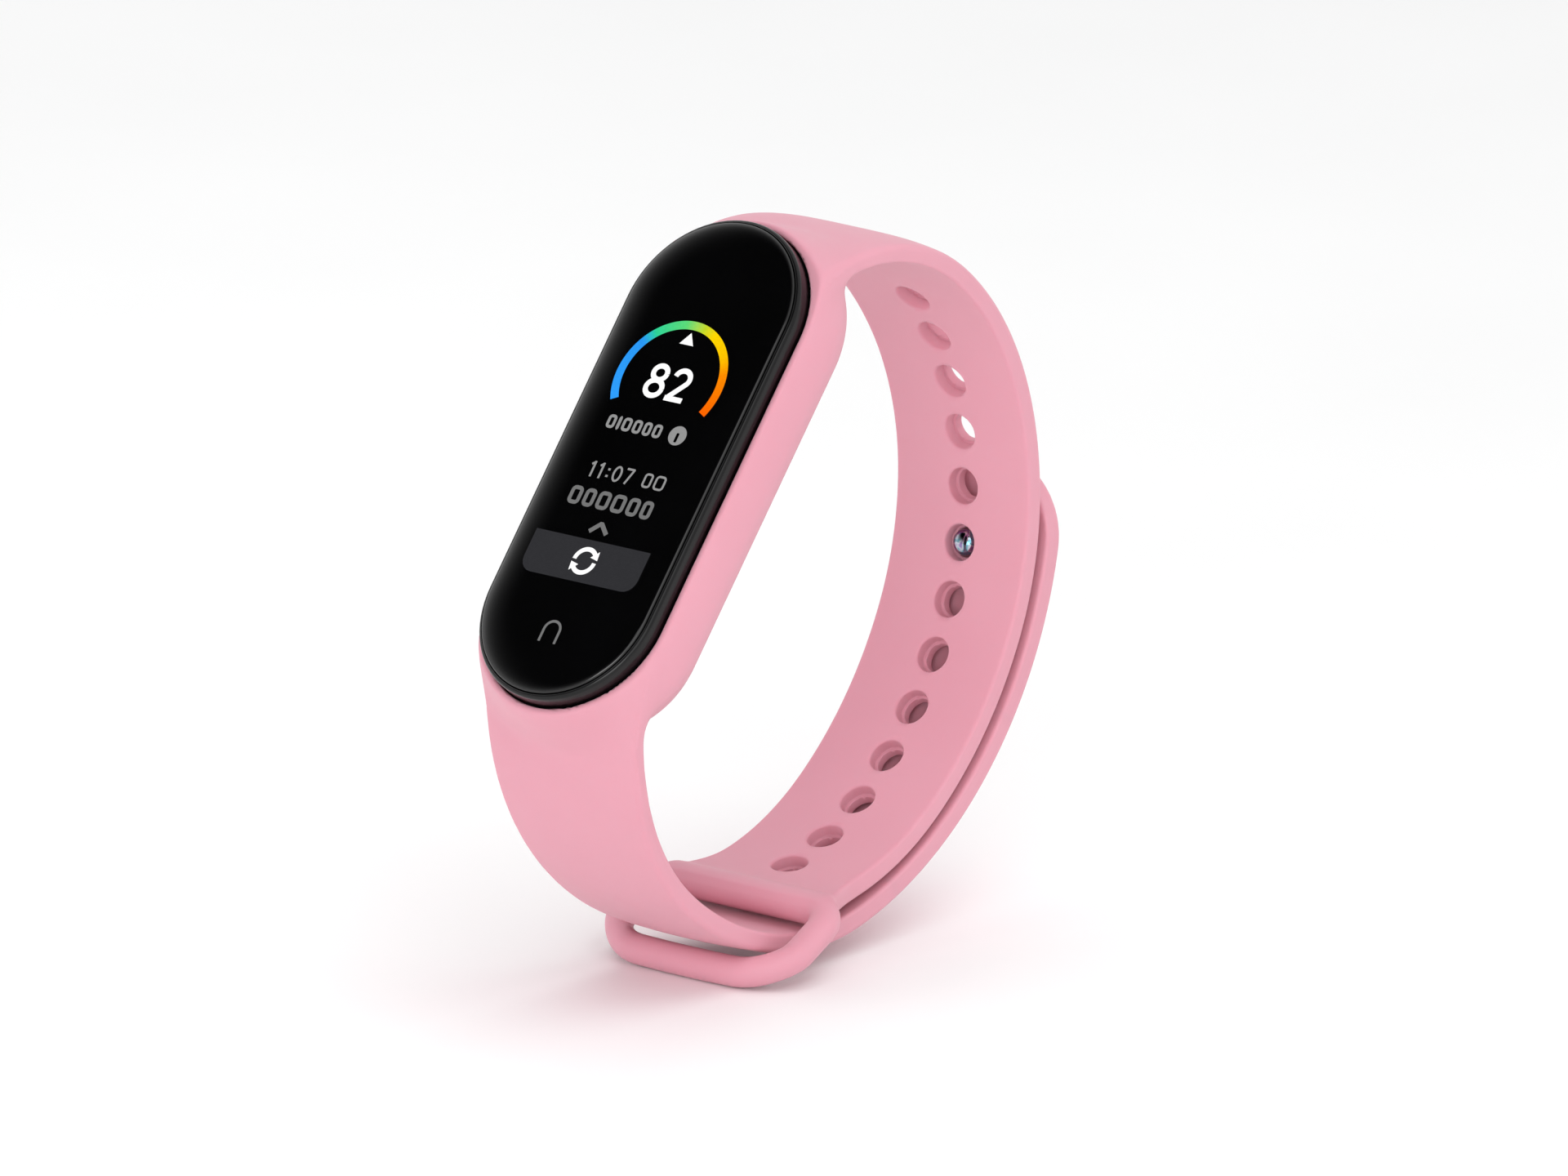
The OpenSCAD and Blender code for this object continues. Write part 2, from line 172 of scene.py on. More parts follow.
class Path:
    """The strap's own coordinates: run s along the middle of its thickness, height n above its inner face."""

    def __init__(self, stretches, start):
        runs, curves, normals, points, self.at = [0.0], [], [], [np.array(start, float)], {}
        for name, radius, a, b in stretches:
            length = b if radius is None else math.radians(a - b) * radius
            curve = 1e-6 if radius is None else 1 / radius
            end_a = a - math.degrees(curve * length)
            self.at[name] = (runs[-1], a, curve)
            curves.append(curve)
            normals.append(math.radians(a))
            points.append(points[-1] + (unit(end_a) - unit(a)) / curve)
            runs.append(runs[-1] + length)
        self.runs, self.points = np.array(runs), np.array(points)
        self.curves, self.normals = np.array(curves), np.array(normals)

    def place(self, s):
        """The middle line's point, the direction of its normal and its curvature at run s."""
        i = np.clip(np.searchsorted(self.runs, s, side="right") - 1, 0, len(self.curves) - 1)
        curve, start = self.curves[i], self.normals[i]
        turned = start - curve * (s - self.runs[i])
        y = self.points[i, 0] + (np.cos(turned) - np.cos(start)) / curve
        z = self.points[i, 1] + (np.sin(turned) - np.sin(start)) / curve
        return y, z, turned, curve

    def run(self, name, deg):
        """The run at which the normal points to deg, on the named stretch."""
        start, a, curve = self.at[name]
        return start + math.radians(a - deg) / curve


path = Path(STRETCHES, TAIL_C + (TAIL_R + 1) * unit(TIP_A + MARGIN_A))

# ---------------------------------------------------------------- places along the strap
TIP_END = path.run("tail", TIP_A)
LOWER_START = path.run("lower", 120.0)  # inside the pocket's lower end
UPPER_START = path.run("upper", 66.0)  # inside its upper end
LOWER_TAPER = path.run("side", 183.0), path.run("lower", 124.6)
UPPER_TAPER = path.run("upper", 51.8), path.run("flank", -49.0)
BAR_RUN = path.run("bend", -126.5)
LOOP_FLARE_RUN = 7.5

HOLE_PITCH, FIRST_HOLE, HOLES = 5.0, 40.5, 13
HOLE_WIDE, HOLE_NECK, HOLE_STEP = 1.6, 1.3, 1.1
BOTTOM_RUN = RING_R * math.radians(FLANK_A)


def hole_place(i):
    """Run, direction and distance from the arc's centre to the inner face, of hole i."""
    s = FIRST_HOLE - i * HOLE_PITCH
    if abs(s) < BOTTOM_RUN:
        name, r, a = "ring", RING_R, math.degrees(s / RING_R)
    else:
        name, r = ("left", LEFT_R) if s < 0 else ("flank", FLANK_R)
        a = math.copysign(FLANK_A + math.degrees((abs(s) - BOTTOM_RUN) / r), s)
    return path.run(name, a - 90), a - 90, r


hole_runs, _, hole_radii = (np.array(v) for v in zip(*sorted(hole_place(i) for i in range(HOLES))))
STUD_DIR = hole_place(5)[1]
STUD_IN, STUD_OUT = FLANK_R + 0.1, FLANK_R + 4.9
DISC_R, POST_R = 2.7, 0.8


# ---------------------------------------------------------------- outlines turned round a stadium
def curve_through(points, steps=160):
    """A smooth curve (radius as a function of height) through points given as (height, radius)."""
    z, r = np.array(points, float).T
    slope = np.gradient(r, z)
    fine = np.linspace(z[0], z[-1], steps)
    i = np.clip(np.searchsorted(z, fine, side="right") - 1, 0, len(z) - 2)
    h = z[i + 1] - z[i]
    t = (fine - z[i]) / h
    value = (
        (1 + 2 * t) * (1 - t) ** 2 * r[i]
        + t * (1 - t) ** 2 * h * slope[i]
        + t * t * (3 - 2 * t) * r[i + 1]
        + t * t * (t - 1) * h * slope[i + 1]
    )
    return fine, value


POCKET_TOP, POCKET_FLOOR = -1.95, -10.6
POCKET = curve_through(
    [
        (-10.6, 7.0), (-9.1, 8.3), (-7.95, 9.25), (-7.0, 10.0),
        (-5.6, 10.52), (-4.2, 10.45), (-3.0, 10.2), (-1.95, 9.8),
    ]
)
BACK_Z, WINDOW_R, FLOOR_R = -11.2, 4.3, 6.3
BODY = curve_through(
    [
        (-11.2, 5.0), (-10.85, 5.7), (-10.0, 6.5), (-9.0, 7.35), (-7.9, 8.2),
        (-6.9, 8.86), (-6.2, 9.03), (-5.6, BODY_R), (2.0, BODY_R),
    ]
)


def around(x, y):
    """Distance from the stadium's middle line."""
    return np.hypot(x, np.maximum(np.abs(y) - END_C, 0.0))


def outline_distance(rho, z, curve):
    """About the distance to the outline, positive outside."""
    r = np.interp(z, *curve)
    slope = np.interp(z, curve[0], np.gradient(curve[1], curve[0]))
    return (rho - r) / np.sqrt(1 + np.minimum(slope**2, 4.0))


def pocket_distance(x, y, z):
    rho = around(x, y)
    side = outline_distance(rho, z, POCKET)
    return smooth_max(side, POCKET_FLOOR - z, 0.5)


def cavity_distance(x, y, z):
    rho = around(x, y)
    return np.minimum(outline_distance(rho, z, BODY) - FIT, rho - FLOOR_R)


def near_pocket(s):
    """0 along an arm, rising to 1 where it leaves the pocket."""
    lower = smoothstep((s - LOWER_TAPER[0]) / (LOWER_TAPER[1] - LOWER_TAPER[0]))
    upper = smoothstep((UPPER_TAPER[1] - s) / (UPPER_TAPER[1] - UPPER_TAPER[0]))
    return np.where(s < UPPER_START, lower, upper)


def half_width(s):
    arm = HALF + (ARM_HALF - HALF) * near_pocket(s)
    return arm + (LOOP_FLARE - HALF) * smoothstep((s - BAR_RUN) / LOOP_FLARE_RUN + 1) ** 2


CROWN_ARM, CROWN_POCKET, BELLY = 0.12, 0.5, 0.26


def crown(s):
    """How much lower the outer face is at its edges than in the middle."""
    return CROWN_ARM + CROWN_POCKET * near_pocket(s) ** 2


def belly(s):
    """The lower arm's outer face is gently rounded from side to side."""
    start, end = path.run("turn", 230.0), path.run("side", 190.0)
    swell = smoothstep((s - start) / (end - start))
    return BELLY * swell * (s < UPPER_START - BRIDGE_LENGTH / 2)


INNER_EDGE_R, OUTER_EDGE_R = 0.28, 0.5
# How wide the fillets are where the strap's parts meet.
LOOP_FILLET, POCKET_FILLET, LIP_FILLET, CAVITY_EDGE, HOLE_EDGE, SEAT_EDGE = 1.1, 2.0, 0.3, 0.2, 0.22, 0.2


def ribbon_distance(x, s, n):
    h = half_width(s)
    bow = crown(s) * (x / h) ** 4 + belly(s) * (x / h) ** 2
    tip = TIP_END + HALF - s
    wide = np.where(tip > 0, np.hypot(x, np.maximum(tip, 0.0)), np.abs(x)) - h
    high = np.abs(n - (THICK - bow) / 2) - (THICK - bow) / 2
    edge = np.where(n > THICK / 2, np.minimum(OUTER_EDGE_R, (THICK - bow) / 2), INNER_EDGE_R)
    wide, high = wide + edge, high + edge
    d = np.minimum(np.maximum(wide, high), 0) + np.hypot(np.maximum(wide, 0), np.maximum(high, 0)) - edge
    d = np.maximum(d, np.minimum(s - LOWER_START, UPPER_START - s))
    return np.maximum(d, s - BAR_RUN)


INNER_CORNER, OUTER_CORNER, BAR_BOW = 2.2, 4.6, 0.35


def loop_distance(x, s, n):
    """Round bar bent into a D: tight corners at the strap, wide ones at its far side."""
    t = s - BAR_RUN
    reach = BAR_SPAN / 2
    span = t - reach + BAR_BOW * (x / LOOP_HALF) ** 2 * smoothstep(t / BAR_SPAN)
    corner = INNER_CORNER + (OUTER_CORNER - INNER_CORNER) * smoothstep(t / BAR_SPAN)
    a, b = np.abs(x) - LOOP_HALF + corner, np.abs(span) - reach + corner
    flat = np.minimum(np.maximum(a, b), 0) + np.hypot(np.maximum(a, 0), np.maximum(b, 0)) - corner
    return np.hypot(flat, n - THICK / 2) - BAR_R


def hole_distance(x, s, n):
    i = np.clip(np.searchsorted((hole_runs[1:] + hole_runs[:-1]) / 2, s), 0, HOLES - 1)
    turn = (s - hole_runs[i]) / (hole_radii[i] + THICK / 2)
    rho = np.hypot(x, (hole_radii[i] + n) * turn)
    return np.minimum(np.maximum(rho - HOLE_WIDE, n - HOLE_STEP), rho - HOLE_NECK)


def seat_distance(x, y, z):
    """The stud's seat in the tail: a hole for its post and a shallow recess for its disc."""
    out = unit(STUD_DIR)
    dy, dz = y - FLANK_C[0], z - FLANK_C[1]
    rho = np.hypot(x, dy * out[1] - dz * out[0])
    height = dy * out[0] + dz * out[1]
    recess = np.maximum(rho - DISC_R - 0.06, STUD_OUT - 0.55 - height)
    return np.minimum(recess, rho - POST_R - 0.02), height


def strap_distance(x, s, n):
    """The whole soft strap, from the end of its tail to its loop."""
    my, mz, turned, _ = path.place(s)
    y = my + (n - THICK / 2) * np.cos(turned)
    z = mz + (n - THICK / 2) * np.sin(turned)
    d = ribbon_distance(x, s, n)
    loop = s > BAR_RUN - 12
    d[loop] = smooth_min(d[loop], loop_distance(x[loop], s[loop], n[loop]), LOOP_FILLET)
    near = (s > LOWER_START - 16) & (s < UPPER_START + 16)
    px, py, pz = x[near], y[near], z[near]
    joined = smooth_min(d[near], pocket_distance(px, py, pz), POCKET_FILLET)
    joined = smooth_max(joined, pz - POCKET_TOP, LIP_FILLET)
    d[near] = smooth_max(joined, -cavity_distance(px, py, pz), CAVITY_EDGE)
    holed = s > UPPER_START + 6
    d[holed] = smooth_max(d[holed], -hole_distance(x[holed], s[holed], n[holed]), HOLE_EDGE)
    tail = s < TIP_END + 20
    seat, height = seat_distance(x[tail], y[tail], z[tail])
    d[tail] = np.where(height > STUD_IN, smooth_max(d[tail], -seat, SEAT_EDGE), d[tail])
    return d


def strap_places(v):
    """Points (x, s, n) in the tracker's frame."""
    y, z, turned, _ = path.place(v[:, 1])
    lift = v[:, 2] - THICK / 2
    return np.stack([v[:, 0], y + lift * np.cos(turned), z + lift * np.sin(turned)], 1)


def strap_slope(v, step=0.02):
    """Gradient of the distance in (x, s, n), and its value."""
    g = np.empty_like(v)
    for axis in range(3):
        ahead, behind = v.copy(), v.copy()
        ahead[:, axis] += step
        behind[:, axis] -= step
        g[:, axis] = (strap_distance(*ahead.T) - strap_distance(*behind.T)) / (2 * step)
    return g, strap_distance(*v.T)


# ---------------------------------------------------------------- meshes
def spread(*zones):
    """Grid lines from zones (start, end, spacing) that follow each other."""
    lines = [
        np.linspace(a, b, max(1, round((b - a) / step)), endpoint=False) for a, b, step in zones
    ]
    return np.concatenate([*lines, [zones[-1][1]]])


def surface_net(f, axes):
    """Quads round every place where f changes sign on the grid of the three axes.
    Returns the vertices, the quads, and each vertex's cell along the second axis."""
    cells = tuple(n - 1 for n in f.shape)
    total, count = np.zeros((3, *cells), np.float32), np.zeros(cells, np.float32)
    crossings = []
    for axis in range(3):
        lo = f[tuple(slice(None, -1) if a == axis else slice(None) for a in range(3))]
        hi = f[tuple(slice(1, None) if a == axis else slice(None) for a in range(3))]
        crossed = (lo < 0) != (hi < 0)
        crossings.append((crossed, lo < 0))
        share = np.where(crossed, lo / np.where(crossed, lo - hi, 1), 0).astype(np.float32)
        others = [a for a in range(3) if a != axis]
        for p in (0, 1):
            for q in (0, 1):
                cut = [slice(None)] * 3
                cut[others[0]] = slice(p, p + cells[others[0]])
                cut[others[1]] = slice(q, q + cells[others[1]])
                here = crossed[tuple(cut)]
                total[axis] += share[tuple(cut)]
                total[others[0]] += here * p
                total[others[1]] += here * q
                count += here
    used = count > 0
    number = np.full(cells, -1, np.int32)
    number[used] = np.arange(used.sum())
    place = np.array(np.nonzero(used), float)
    row = place[1].astype(int)
    place += total[:, used] / count[used]
    v = np.stack([np.interp(place[a], np.arange(len(axes[a])), axes[a]) for a in range(3)], 1)
    quads = []
    for axis in range(3):
        order = [axis, (axis + 1) % 3, (axis + 2) % 3]
        ids = number.transpose(order)
        crossed, inside = (c.transpose(order)[:, 1:-1, 1:-1] for c in crossings[axis])
        i, j, k = np.nonzero(crossed)
        around_edge = np.stack([ids[i, j, k], ids[i, j + 1, k], ids[i, j + 1, k + 1], ids[i, j, k + 1]], 1)
        out = inside[i, j, k]
        around_edge[~out] = around_edge[~out][:, ::-1]
        quads.append(around_edge)
    return v, np.concatenate(quads), row


def settle(v, rounds=5, most=0.12):
    """Moves the vertices onto the strap's true surface."""
    for _ in range(rounds):
        g, d = strap_slope(v)
        step = g * (d / np.maximum((g * g).sum(1), 1e-3))[:, None]
        length = np.linalg.norm(step, axis=1, keepdims=True)
        v = v - step * np.minimum(1, most / np.maximum(length, 1e-9))
    return v


def strap_normals(v):
    """Normals of the strap's surface in the row frame."""
    g, _ = strap_slope(v, 0.03)
    _, _, turned, curve = path.place(v[:, 1])
    stretch = 1 + curve * (v[:, 2] - THICK / 2)
    gx, gs, gn = g[:, 0], g[:, 1] / stretch, g[:, 2]
    c, s = np.cos(turned), np.sin(turned)
    n = turn_to_row(np.stack([gx, gs * s + gn * c, -gs * c + gn * s], 1))
    return n / np.maximum(np.linalg.norm(n, axis=1, keepdims=True), 1e-9)


def placed(name, data):
    """A new object in the scene."""
    obj = bpy.data.objects.new(name, data)
    bpy.context.scene.collection.objects.link(obj)
    return obj


def new_object(name, verts, faces, smooth=True):
    """A mesh object from points in metres in the row frame."""
    mesh = bpy.data.meshes.new(name)
    mesh.from_pydata([tuple(p) for p in verts], [], [tuple(int(i) for i in f) for f in faces])
    mesh.validate()
    if smooth:
        mesh.polygons.foreach_set("use_smooth", np.ones(len(mesh.polygons), bool))
    return placed(name, mesh)


def ring_order(edges):
    """The vertices of a closed loop of edges, in order."""
    nexts = {int(a): int(b) for a, b in edges}
    ring = [int(edges[0][0])]
    while nexts[ring[-1]] != ring[0]:
        ring.append(nexts[ring[-1]])
    return ring


def strap_piece(name, v, quads, row, first, last):
    """The strap between two rows of cells, closed with a flat face at each cut."""
    rows = row[quads]
    kept = quads[(rows >= first).all(1) & (rows <= last).all(1)]
    used = np.unique(kept)
    index = np.full(len(v), -1)
    index[used] = np.arange(len(used))
    faces = index[kept]
    points, normals = v[used], strap_normals(v[used])
    edges = np.concatenate([faces[:, [i, (i + 1) % 4]] for i in range(4)])
    known = {(int(a), int(b)) for a, b in edges}
    open_edges = np.array([(b, a) for a, b in known if (b, a) not in known])
    faces, caps = [list(f) for f in faces], []
    for cut in (first, last):
        if len(open_edges):
            here = open_edges[row[used][open_edges[:, 0]] == cut]
            if len(here):
                caps.append(ring_order(here))
    obj = new_object(name, to_row(strap_places(points)), faces + caps)
    mesh = obj.data
    corner = np.zeros(len(mesh.loops), int)
    mesh.loops.foreach_get("vertex_index", corner)
    corner_normals = normals[corner]
    for polygon in list(mesh.polygons)[len(faces):]:
        flat = np.array(polygon.normal)
        corner_normals[polygon.loop_start : polygon.loop_start + polygon.loop_total] = flat
    mesh.normals_split_custom_set([tuple(n) for n in corner_normals])
    return obj


def stadium_ring(r, z, ends=40, sides=14):
    """Points round a stadium of that radius and height."""
    a = np.radians(np.linspace(0, 180, ends))
    y = np.linspace(END_C, -END_C, sides + 1)[1:-1]
    arc = np.stack([r * np.cos(a), END_C + r * np.sin(a)], 1)
    left = np.stack([np.full(len(y), -r), y], 1)
    half = np.concatenate([arc, left])
    ring = np.concatenate([half, -half])
    return np.column_stack([ring, np.full(len(ring), z)])


def sweep_faces(rings, points, closed=False):
    faces = []
    for i in range(rings if closed else rings - 1):
        a, b = i * points, (i + 1) % rings * points
        faces += [(a + j, a + (j + 1) % points, b + (j + 1) % points, b + j) for j in range(points)]
    return faces


def tidy_mesh(obj, join=1e-7):
    """Joins doubled vertices, drops faces with no area and turns the rest outward."""
    bm = bmesh.new()
    bm.from_mesh(obj.data)
    bmesh.ops.remove_doubles(bm, verts=bm.verts, dist=join)
    bmesh.ops.dissolve_degenerate(bm, edges=bm.edges, dist=join)
    bmesh.ops.recalc_face_normals(bm, faces=bm.faces)
    bm.to_mesh(obj.data)
    bm.free()
    return obj


def stadium_piece(name, outline, closed=False):
    """A profile of (radius, height) carried round the tracker's stadium."""
    rings = [stadium_ring(r, z) for r, z in outline]
    verts = to_row(np.concatenate(rings))
    return tidy_mesh(new_object(name, verts, sweep_faces(len(rings), len(rings[0]), closed)))


def lathe_piece(name, outline, centre, axis, points=72):
    """A profile of (radius, height) turned about an axis of the tracker's frame."""
    axis = np.array(axis, float) / np.linalg.norm(axis)
    side = np.cross(axis, [1.0, 0, 0] if abs(axis[0]) < 0.9 else [0, 1.0, 0])
    side /= np.linalg.norm(side)
    other = np.cross(axis, side)
    a = np.linspace(0, 2 * math.pi, points, endpoint=False)
    rings = [
        centre + h * axis + r * (np.cos(a)[:, None] * side + np.sin(a)[:, None] * other) for r, h in outline
    ]
    return tidy_mesh(new_object(name, to_row(np.concatenate(rings)), sweep_faces(len(rings), points)))


def arc_points(cx, cz, r, a, b, steps=8):
    """Points (radius, height) of an arc in an outline."""
    return [
        (cx + r * math.cos(math.radians(t)), cz + r * math.sin(math.radians(t)))
        for t in np.linspace(a, b, steps)
    ]


# ---------------------------------------------------------------- materials
class Nodes:
    """A material's node tree, with its Principled shader at hand."""

    def __init__(self, name):
        self.material = bpy.data.materials.new(name)
        self.material.use_nodes = True
        self.tree = self.material.node_tree
        self.shader = self.tree.nodes["Principled BSDF"]
        self.where = self.add("ShaderNodeTexCoord").outputs["Object"]

    def add(self, kind, **values):
        node = self.tree.nodes.new(kind)
        for key, value in values.items():
            if key in node.inputs:
                node.inputs[key].default_value = value
            else:
                setattr(node, key, value)
        return node

    def link(self, a, b):
        self.tree.links.new(a, b)

    def set(self, **values):
        for key, value in values.items():
            self.shader.inputs[key.replace("_", " ")].default_value = value

    def noise(self, size_mm, detail=3.0, where=None):
        """Noise whose features are about size_mm."""
        node = self.add("ShaderNodeTexNoise", Scale=1 / (size_mm * MM), Detail=detail)
        self.link(where or self.where, node.inputs["Vector"])
        return node.outputs["Fac"]

    def ramp(self, fac, stops):
        node = self.add("ShaderNodeValToRGB")
        band = node.color_ramp
        while len(band.elements) < len(stops):
            band.elements.new(0.5)
        for element, (at, colour) in zip(band.elements, stops):
            element.position = at
            element.color = (*colour, 1)
        self.link(fac, node.inputs["Fac"])
        return node.outputs["Color"]

    def span(self, fac, low, high):
        """fac from 0..1 stretched onto low..high."""
        node = self.add("ShaderNodeMapRange")
        node.inputs["To Min"].default_value = low
        node.inputs["To Max"].default_value = high
        self.link(fac, node.inputs["Value"])
        return node.outputs["Result"]

    def bump(self, fac, depth_mm):
        node = self.add("ShaderNodeBump", Strength=1.0, Distance=depth_mm * MM)
        self.link(fac, node.inputs["Height"])
        if self.shader.inputs["Normal"].is_linked:
            self.link(self.shader.inputs["Normal"].links[0].from_socket, node.inputs["Normal"])
        self.link(node.outputs["Normal"], self.shader.inputs["Normal"])

    def colour(self, socket):
        self.link(socket, self.shader.inputs["Base Color"])

    def roughness(self, fac, low, high):
        self.link(self.span(fac, low, high), self.shader.inputs["Roughness"])


def linear(r, g, b):
    """An sRGB colour from 0..255 as linear light."""
    return tuple(((c / 255 + 0.055) / 1.055) ** 2.4 if c > 10 else c / 255 / 12.92 for c in (r, g, b))


def mixed(name, colour_a, colour_b, blotch_mm, grain_mm, rough, depth_mm=0.004, **values):
    """A plain moulded or coated finish: two close colours in soft blotches, with a fine grain."""
    m = Nodes(name)
    m.colour(m.ramp(m.noise(blotch_mm), [(0.3, colour_a), (0.7, colour_b)]))
    grain = m.noise(grain_mm, 2.0)
    m.roughness(grain, *rough)
    m.bump(grain, depth_mm)
    m.set(**values)
    return m.material


def silicone():
    m = Nodes("silicone")
    m.colour(m.ramp(m.noise(14.0, 2.0), [(0.25, linear(213, 149, 164)), (0.75, linear(216, 153, 168))]))
    grain = m.noise(0.09, 3.0)
    m.bump(grain, 0.0025)
    m.bump(m.noise(3.5, 2.0), 0.006)
    m.roughness(m.noise(1.8, 4.0), 0.50, 0.62)
    m.set(
        Subsurface_Weight=0.2,
        Subsurface_Radius=(1.0, 0.45, 0.5),
        Subsurface_Scale=0.0012,
        Specular_IOR_Level=0.35,
        Sheen_Weight=0.08,
        Sheen_Roughness=0.5,
    )
    return m.material


DRAWN = (1.0, 1.0, 22.0)  # how the noise is squeezed into drawn lines


def brushed(name, colour_a, colour_b, rough=(0.16, 0.34)):
    """Metal with fine drawn lines."""
    m = Nodes(name)
    mapping = m.add("ShaderNodeMapping")
    mapping.inputs["Scale"].default_value = DRAWN
    m.link(m.where, mapping.inputs["Vector"])
    lines = m.noise(1.2, 4.0, mapping.outputs["Vector"])
    m.colour(m.ramp(lines, [(0.3, colour_a), (0.7, colour_b)]))
    m.roughness(lines, *rough)
    m.bump(lines, 0.002)
    m.set(Metallic=1.0)
    return m.material


def black_gloss():
    dark, less_dark = (0.0016, 0.0016, 0.0018), (0.0030, 0.0030, 0.0034)
    return mixed("black_gloss", dark, less_dark, 6.0, 0.12, (0.14, 0.22), 0.0008, Specular_IOR_Level=0.3)


def cover_glass():
    dark, less_dark = (0.0008, 0.0008, 0.0009), (0.0014, 0.0014, 0.0016)
    return mixed("cover_glass", dark, less_dark, 9.0, 0.8, (0.03, 0.06), 0.0002, Specular_IOR_Level=0.5)


def stud_metal_painted_reflections():
    """Polished steel with painted reflections: its colour goes in random blotches of teal and violet among steel
    greys.
    """
    m = Nodes("polished_metal")
    # painted reflections: the noise scatters teal and violet, standing in for coloured reflections, in blotches
    # among the steel's greys
    reflection_blotches = m.noise(0.9, 1.0)
    m.colour(
        m.ramp(
            reflection_blotches,
            [
                (0.30, linear(150, 160, 178)),
                (0.42, linear(92, 150, 165)),
                (0.52, linear(190, 190, 200)),
                (0.62, linear(135, 105, 165)),
                (0.74, linear(200, 205, 212)),
            ],
        )
    )
    m.roughness(m.noise(0.25), 0.05, 0.14)
    m.set(Metallic=1.0)
    return m.material


def turned_steel():
    """Steel turned on a lathe: fine rings about the stud's axis."""
    m = Nodes("turned_steel")
    mapping = m.add("ShaderNodeMapping", vector_type="TEXTURE")
    mapping.inputs["Location"].default_value = tuple(to_row(stud_base)[0])
    turned = Vector(turn_to_row(stud_axis)[0]).to_track_quat("Z", "Y").to_euler()
    mapping.inputs["Rotation"].default_value = turned
    m.link(m.where, mapping.inputs["Vector"])
    rings = m.add("ShaderNodeTexWave", wave_type="RINGS", rings_direction="Z", Scale=2200.0, Distortion=0.6)
    m.link(mapping.outputs["Vector"], rings.inputs["Vector"])
    m.colour(m.ramp(rings.outputs["Fac"], [(0.2, linear(188, 190, 196)), (0.8, linear(212, 214, 219))]))
    m.roughness(rings.outputs["Fac"], 0.14, 0.24)
    m.bump(m.noise(0.3), 0.001)
    m.set(Metallic=1.0)
    return m.material


def circuit_board():
    m = Nodes("circuit_board")
    weave = m.add("ShaderNodeTexBrick", Scale=1 / (2.2 * MM))
    weave.inputs["Color1"].default_value = (*linear(18, 84, 48), 1)
    weave.inputs["Color2"].default_value = (*linear(14, 70, 40), 1)
    weave.inputs["Mortar"].default_value = (*linear(120, 108, 48), 1)
    weave.inputs["Mortar Size"].default_value = 0.006
    m.link(m.where, weave.inputs["Vector"])
    m.colour(weave.outputs["Color"])
    m.roughness(m.noise(0.4), 0.28, 0.42)
    m.bump(weave.outputs["Fac"], 0.01)
    return m.material


def foil():
    m = Nodes("battery_foil")
    crumple = m.add("ShaderNodeTexVoronoi", Scale=1 / (2.6 * MM), feature="DISTANCE_TO_EDGE")
    m.link(m.where, crumple.inputs["Vector"])
    m.colour(m.ramp(m.noise(1.5), [(0.3, linear(176, 180, 186)), (0.7, linear(206, 208, 212))]))
    m.roughness(m.noise(0.3), 0.26, 0.42)
    m.bump(crumple.outputs["Distance"], 0.05)
    m.set(Metallic=0.85)
    return m.material


def lit_pixels(name, colour, glow=0.55, tinted=False):
    """The light of the screen's pixels under the glass."""
    m = Nodes(name)
    raster = m.add("ShaderNodeTexBrick", Scale=1 / (0.42 * MM))
    raster.offset = 0.0
    raster.inputs["Mortar Size"].default_value = 0.012
    raster.inputs["Color1"].default_value = (1, 1, 1, 1)
    raster.inputs["Color2"].default_value = (0.93, 0.93, 0.93, 1)
    raster.inputs["Mortar"].default_value = (0.80, 0.80, 0.80, 1)
    m.link(m.where, raster.inputs["Vector"])
    product = m.add("ShaderNodeMix", data_type="RGBA", blend_type="MULTIPLY")
    product.inputs["Factor"].default_value = 1.0
    m.link(raster.outputs["Color"], product.inputs["A"])
    if tinted:
        tint = m.add("ShaderNodeAttribute", attribute_name="Tint")
        m.link(tint.outputs["Color"], product.inputs["B"])
    else:
        product.inputs["B"].default_value = (*colour, 1)
    unlit = m.add("ShaderNodeMix", data_type="RGBA", blend_type="MULTIPLY")
    unlit.inputs["Factor"].default_value = 1.0
    unlit.inputs["B"].default_value = (0.12, 0.12, 0.12, 1)
    m.link(product.outputs["Result"], unlit.inputs["A"])
    m.colour(unlit.outputs["Result"])
    m.link(product.outputs["Result"], m.shader.inputs["Emission Color"])
    m.roughness(m.noise(0.8), 0.05, 0.10)
    m.set(Emission_Strength=glow)
    return m.material


# The plain finishes: two close colours, then what mixed() or brushed() takes after them.
MOULDED = {
    "adhesive": ((24, 24, 25), (34, 34, 35), 2.0, 0.15, (0.5, 0.7)),
    "touch_film": ((70, 84, 92), (92, 106, 112), 3.0, 0.3, (0.1, 0.2)),
    "display": ((9, 9, 13), (15, 15, 20), 4.0, 0.11, (0.08, 0.16), 0.001),
    "foam": ((36, 36, 38), (62, 62, 64), 0.4, 0.12, (0.85, 1.0), 0.08),
    "flex_circuit": ((176, 104, 22), (206, 136, 44), 1.1, 0.2, (0.2, 0.34)),
    "seal_rubber": ((30, 30, 32), (44, 44, 47), 1.6, 0.10, (0.6, 0.75)),
    "dark_lens": ((10, 9, 14), (20, 18, 28), 2.4, 0.5, (0.03, 0.07), 0.0004),
    "led_lens": ((150, 222, 158), (196, 240, 186), 0.5, 0.12, (0.10, 0.2)),
    "silicon": ((46, 38, 70), (74, 60, 96), 0.8, 0.1, (0.10, 0.2), 0.001),
    "matt_black": ((16, 16, 16), (28, 28, 28), 1.0, 0.08, (0.7, 0.9)),
    "chip_resin": ((28, 28, 30), (42, 42, 44), 0.9, 0.07, (0.45, 0.6), 0.01),
    "cream_plastic": ((214, 204, 178), (228, 220, 196), 1.2, 0.1, (0.3, 0.45)),
}
